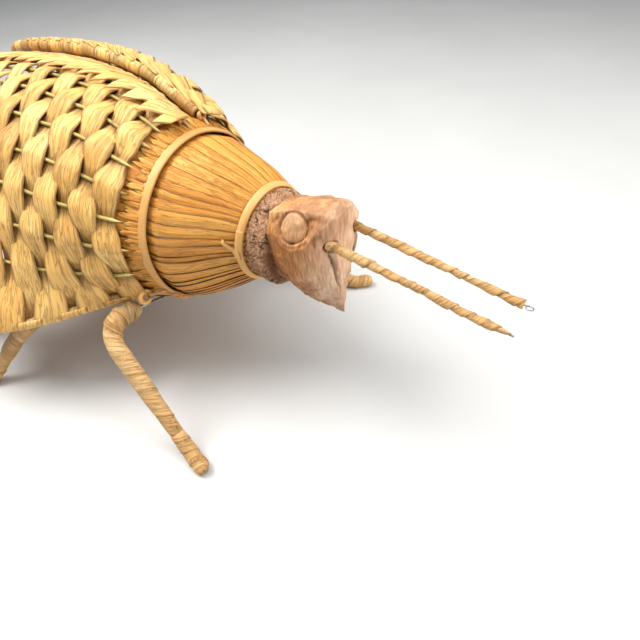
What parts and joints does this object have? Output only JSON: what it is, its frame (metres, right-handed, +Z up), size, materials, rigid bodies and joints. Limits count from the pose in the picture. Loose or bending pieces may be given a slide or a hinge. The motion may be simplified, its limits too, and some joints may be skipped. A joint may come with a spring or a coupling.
{
  "type": "woven palm-leaf insect figure",
  "caption": "Large standing craft insect: carved wooden head with wire antennae, hollow palm-blade body, two woven wings lashed to the thorax hoop, wrapped wire legs",
  "frame": {"origin": "on the ground under the middle of the whole insect", "axes": "+X forward through the head and antennae, +Y to the insect's left, +Z up"},
  "size_m": [0.4972, 0.3152, 0.2246],
  "materials": {
    "carved_wood": "matte carved branch wood with tool facets and fine grain",
    "bark": "rough cork-like bark, cracked and pitted",
    "palm_blade": "dry golden-brown palm leaf blades, satin, ribbed lengthwise",
    "green_cane": "thin greenish-yellow cane stakes, satin",
    "cane": "light tan split cane, satin",
    "palm_husk": "straw-coloured palm husk strips, creased, with darker streaks",
    "steel_wire": "drawn steel wire"
  },
  "bodies": {
    "insect_body": {"abdomen_blades": "palm_blade", "cage_hoops": "cane", "cage_ribs": "cane", "front_left_foot_wrap": "palm_husk", "front_left_leg_wrap": "palm_husk", "front_leg_wire": "steel_wire", "front_right_foot_wrap": "palm_husk", "front_right_leg_wrap": "palm_husk", "head_block": "carved_wood", "hind_left_foot_wrap": "palm_husk", "hind_left_leg_wrap": "palm_husk", "hind_leg_wire": "steel_wire", "hind_right_foot_wrap": "palm_husk", "hind_right_leg_wrap": "palm_husk", "left_antenna_wire": "steel_wire", "left_antenna_wrap": "palm_husk", "left_lower_lashing": "palm_husk", "left_upper_lashing": "palm_husk", "middle_left_foot_wrap": "palm_husk", "middle_left_leg_wrap": "palm_husk", "middle_leg_wire": "steel_wire", "middle_right_foot_wrap": "palm_husk", "middle_right_leg_wrap": "palm_husk", "neck_band": "cane", "neck_bark": "bark", "right_antenna_wire": "steel_wire", "right_antenna_wrap": "palm_husk", "right_lower_lashing": "palm_husk", "right_upper_lashing": "palm_husk", "tail_band": "cane", "thorax_blades": "palm_blade", "thorax_hoop": "cane"},
    "right_wing": {"right_wing_rim": "cane", "right_wing_rim_wrap": "palm_husk", "right_wing_stakes": "green_cane", "right_wing_weave": "palm_husk"},
    "left_wing": {"left_wing_rim": "cane", "left_wing_rim_wrap": "palm_husk", "left_wing_stakes": "green_cane", "left_wing_weave": "palm_husk"}
  },
  "joints": [
    {"name": "right_wing_swing", "type": "hinge", "parent": "insect_body", "child": "right_wing", "pos_m": [0.0144, -0.06202, 0.09362], "axis": [0.0241, 0.5493, 0.8352], "range_deg": [0, 12], "stiffness_Nm_per_rad": 0.03},
    {"name": "left_wing_swing", "type": "hinge", "parent": "insect_body", "child": "left_wing", "pos_m": [0.0144, 0.06202, 0.09362], "axis": [-0.0283, 0.3459, -0.9378], "range_deg": [0, 12], "stiffness_Nm_per_rad": 0.03}
  ]
}
